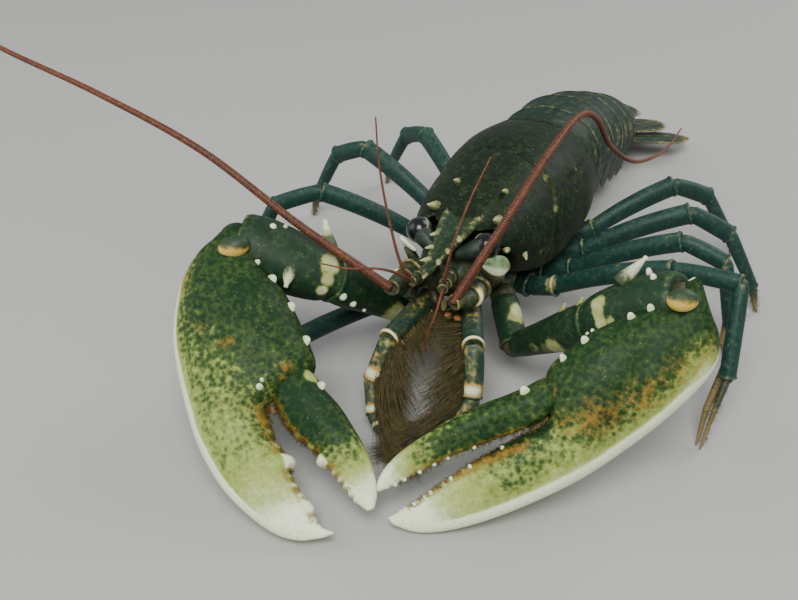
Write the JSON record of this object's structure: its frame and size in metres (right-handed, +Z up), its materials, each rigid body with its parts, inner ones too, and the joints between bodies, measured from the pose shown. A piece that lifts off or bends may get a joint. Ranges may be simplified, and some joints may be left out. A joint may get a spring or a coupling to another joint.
{
  "type": "european lobster",
  "caption": "Life-size lobster standing on its walking legs, a heavy crusher claw and a slimmer cutter claw held in front, long feelers, tail fan spread.",
  "frame": {"origin": "middle of the animal's footprint, on the floor that its walking legs stand on", "axes": "+Z up from the floor, the head faces -Y, the animal's left side is +X"},
  "size_m": [0.3654, 0.3382, 0.1158],
  "materials": {
    "shell": "dark green-blue shell, satin",
    "claw_shell": "mottled green shell with a cream rim, satin",
    "leg_shell": "blue-green shell, satin",
    "underside": "cream shell, matt",
    "feeler": "red-brown, matt",
    "eye": "black, glossy"
  },
  "bodies": {
    "root": {"abdomen_1": "shell", "abdomen_2": "shell", "abdomen_3": "shell", "abdomen_4": "shell", "abdomen_5": "shell", "abdomen_6": "shell", "antenna_base_left": "leg_shell", "antenna_base_right": "leg_shell", "antenna_left_1": "feeler", "antenna_left_2": "feeler", "antenna_left_3": "feeler", "antenna_right_1": "feeler", "antenna_right_2": "feeler", "antenna_right_3": "feeler", "antenna_scale_left": "leg_shell", "antenna_scale_right": "leg_shell", "antennule_left": "feeler", "antennule_right": "feeler", "carapace": "shell", "claw_carpus_left": "leg_shell", "claw_carpus_right": "leg_shell", "claw_finger_left": "claw_shell", "claw_finger_right": "claw_shell", "claw_ischium_left": "leg_shell", "claw_ischium_right": "leg_shell", "claw_merus_left": "leg_shell", "claw_merus_right": "leg_shell", "claw_palm_left": "claw_shell", "claw_palm_right": "claw_shell", "eye_left": "eye", "eye_right": "eye", "head": "underside", "leg_1_lower_left": "leg_shell", "leg_1_lower_right": "leg_shell", "leg_1_upper_left": "leg_shell", "leg_1_upper_right": "leg_shell", "leg_2_lower_left": "leg_shell", "leg_2_lower_right": "leg_shell", "leg_2_upper_left": "leg_shell", "leg_2_upper_right": "leg_shell", "leg_3_lower_left": "leg_shell", "leg_3_lower_right": "leg_shell", "leg_3_upper_left": "leg_shell", "leg_3_upper_right": "leg_shell", "leg_4_lower_left": "leg_shell", "leg_4_lower_right": "leg_shell", "leg_4_upper_left": "leg_shell", "leg_4_upper_right": "leg_shell", "maxilliped_left": "leg_shell", "maxilliped_right": "leg_shell", "telson": "shell", "thorax": "underside", "uropod_inner_left": "shell", "uropod_inner_right": "shell", "uropod_outer_left": "shell", "uropod_outer_right": "shell"}
  },
  "joints": []
}
